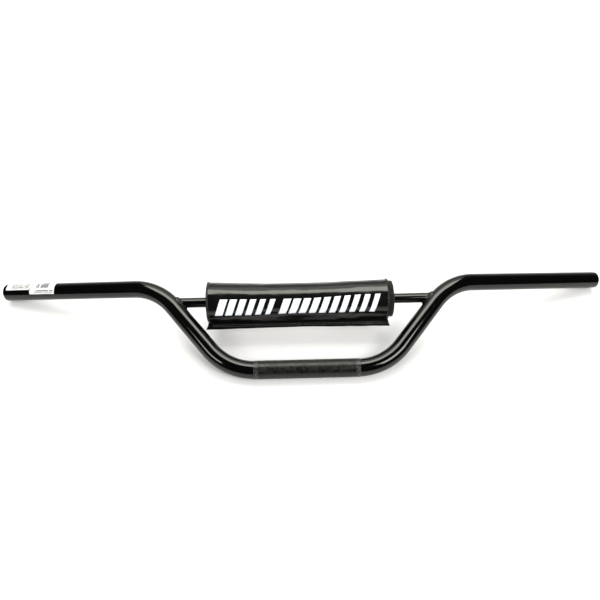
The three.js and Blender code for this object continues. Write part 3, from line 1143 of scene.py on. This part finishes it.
# Degrees and metres. One soft key light hangs overhead and one stands behind the bar, and panels
# at the back and on both sides show in the gloss.
OVERHEAD = {"azimuth": 0, "elevation": 68.5, "width": 1.75, "height": 0.75}
BACK_KEY = {"azimuth": 0, "elevation": 38, "width": 2.0, "height": 0.9}
BACK_PANEL = {"azimuth": 0, "elevation": 44, "width": 1.8, "height": 0.85}
FRONT_RIGHT = {"azimuth": 135, "elevation": 47, "width": 0.62, "height": 0.62}
FRONT_LEFT = {"azimuth": -132, "elevation": 38, "width": 0.5, "height": 0.45}


def place_lamp(name, data, azimuth, elevation, distance):
    """Places a lamp by its compass direction, 0 behind the bar and 90 to its right, facing it."""
    a, e = math.radians(azimuth), math.radians(elevation)
    way = Vector((math.sin(a) * math.cos(e), math.cos(a) * math.cos(e), math.sin(e)))
    lamp = bpy.data.objects.new(name, data)
    lamp.location = LIGHT_TARGET + way * distance
    lamp.rotation_mode = "QUATERNION"
    lamp.rotation_quaternion = (-way).to_track_quat("-Z", "Y")
    bpy.context.scene.collection.objects.link(lamp)
    return lamp


def softbox(name, box, distance, radiance, mirrored=True, lighting=True):
    """An even rectangular lamp, which may be kept out of the gloss or out of the lighting."""
    data = bpy.data.lights.new(name, "AREA")
    data.shape = "RECTANGLE"
    data.size = box["width"]
    data.size_y = box["height"]
    data.energy = radiance * math.pi * data.size * data.size_y
    data.color = LAMP_COLOUR
    lamp = place_lamp(name, data, box["azimuth"], box["elevation"], distance)
    lamp.visible_glossy = mirrored
    lamp.visible_diffuse = lighting


def build_world():
    """A pale backdrop with soft fill, which the gloss mirrors bright only behind the bar."""
    back_glow, dim_glow = 0.75, 0.02
    soft_fill = 0.8
    world = bpy.data.worlds.new("studio")
    world.use_nodes = True
    bpy.context.scene.world = world
    tree = world.node_tree
    sky = tree.nodes["Background"]
    way = tree.nodes.new("ShaderNodeTexCoord").outputs["Generated"]
    parts = tree.nodes.new("ShaderNodeSeparateXYZ")
    tree.links.new(way, parts.inputs[0])

    def span(value, start, end, low, high):
        made = tree.nodes.new("ShaderNodeMapRange")
        tree.links.new(value, made.inputs[0])
        for socket, number in zip(range(1, 5), (start, end, low, high)):
            made.inputs[socket].default_value = number
        return made.outputs[0]

    def combine(operation, a, b):
        made = tree.nodes.new("ShaderNodeMath")
        made.operation = operation
        for socket, value in zip(made.inputs, (a, b)):
            if isinstance(value, bpy.types.NodeSocket):
                tree.links.new(value, socket)
            else:
                socket.default_value = value
        return made.outputs[0]

    behind = span(parts.outputs["Y"], 0.35, 0.85, 0.0, 1.0)
    low_down = span(parts.outputs["Z"], 0.25, 0.6, 1.0, 0.0)
    patch = combine("MULTIPLY", combine("MULTIPLY", behind, low_down), back_glow)
    glow = combine("ADD", patch, dim_glow)
    rays = tree.nodes.new("ShaderNodeLightPath").outputs
    fill = combine("MULTIPLY", rays["Is Diffuse Ray"], soft_fill)
    strength = combine("MAXIMUM", combine("MAXIMUM", glow, fill), rays["Is Camera Ray"])
    sky.inputs["Color"].default_value = (1.0, 1.0, 1.0, 1.0)
    tree.links.new(strength, sky.inputs["Strength"])


def build_floor():
    """A wide level floor under the bar."""
    turns = ((-1, -1), (1, -1), (1, 1), (-1, 1))
    corners = [(x * FLOOR_HALF, y * FLOOR_HALF, floor_z) for x, y in turns]
    mesh = bpy.data.meshes.new("studio_floor")
    mesh.from_pydata(corners, [], [(0, 1, 2, 3)])
    floor = make_piece("studio_floor", mesh, pale_floor())


def build_camera():
    """A camera in front of the bar, above it and a little to its left, looking down at it."""
    azimuth, elevation = math.radians(1.63), math.radians(-51.14)
    data = bpy.data.cameras.new("camera")
    data.sensor_width = 36.0
    data.lens = 34.43
    camera = bpy.data.objects.new("camera", data)
    camera.location = (-0.0192, -0.3740, 0.5985)
    ahead = Vector((math.sin(azimuth), math.cos(azimuth), math.tan(elevation)))
    camera.rotation_mode = "QUATERNION"
    camera.rotation_quaternion = ahead.to_track_quat("-Z", "Y")
    bpy.context.scene.collection.objects.link(camera)
    bpy.context.scene.camera = camera


# ------------ assembly

build_camera()
build_world()
build_floor()
softbox("overhead", OVERHEAD, distance=1.8, radiance=3.3, mirrored=False)
softbox("overhead_sheen", OVERHEAD, distance=1.7, radiance=10.0, lighting=False)
softbox("back_key", BACK_KEY, distance=2.0, radiance=4.4, mirrored=False)
softbox("back_panel", BACK_PANEL, distance=2.0, radiance=2.2)
softbox("front_right", FRONT_RIGHT, distance=1.8, radiance=13.5)
softbox("front_left", FRONT_LEFT, distance=1.8, radiance=10.0)
bpy.context.scene.view_settings.view_transform = "Standard"

build_main_tube()
build_clamp_sleeve()
build_crossbar()
build_weld(1, "weld_bead_right", "weld_right")
build_weld(-1, "weld_bead_left", "weld_left")

build_foam()
cover = build_cover()
hems = [
    build_hem(-1, "binding_left", "hem_left"),
    build_hem(1, "binding_right", "hem_right"),
]
flap = build_flap()
build_tape("loop_tape", "loop_strip", "pad_cover", loop_pile, 1.3 * MM, 0.12 * MM, -0.35 * MM)
build_tape("hook_tape", "hook_strip", "flap", hook_pile, -1.4 * MM, -0.12 * MM, 0.3 * MM)
zigzag = stitch_row("binding_stitches", hem_stitches(), "pad_cover")
flange_rows = stitch_row("flange_stitches", fin_stitches(1), "pad_cover")
stitch_row("flap_stitches", fin_stitches(-1), "flap")
printed = build_print()
cover_girth()
for label in LABELS:
    build_label(label)
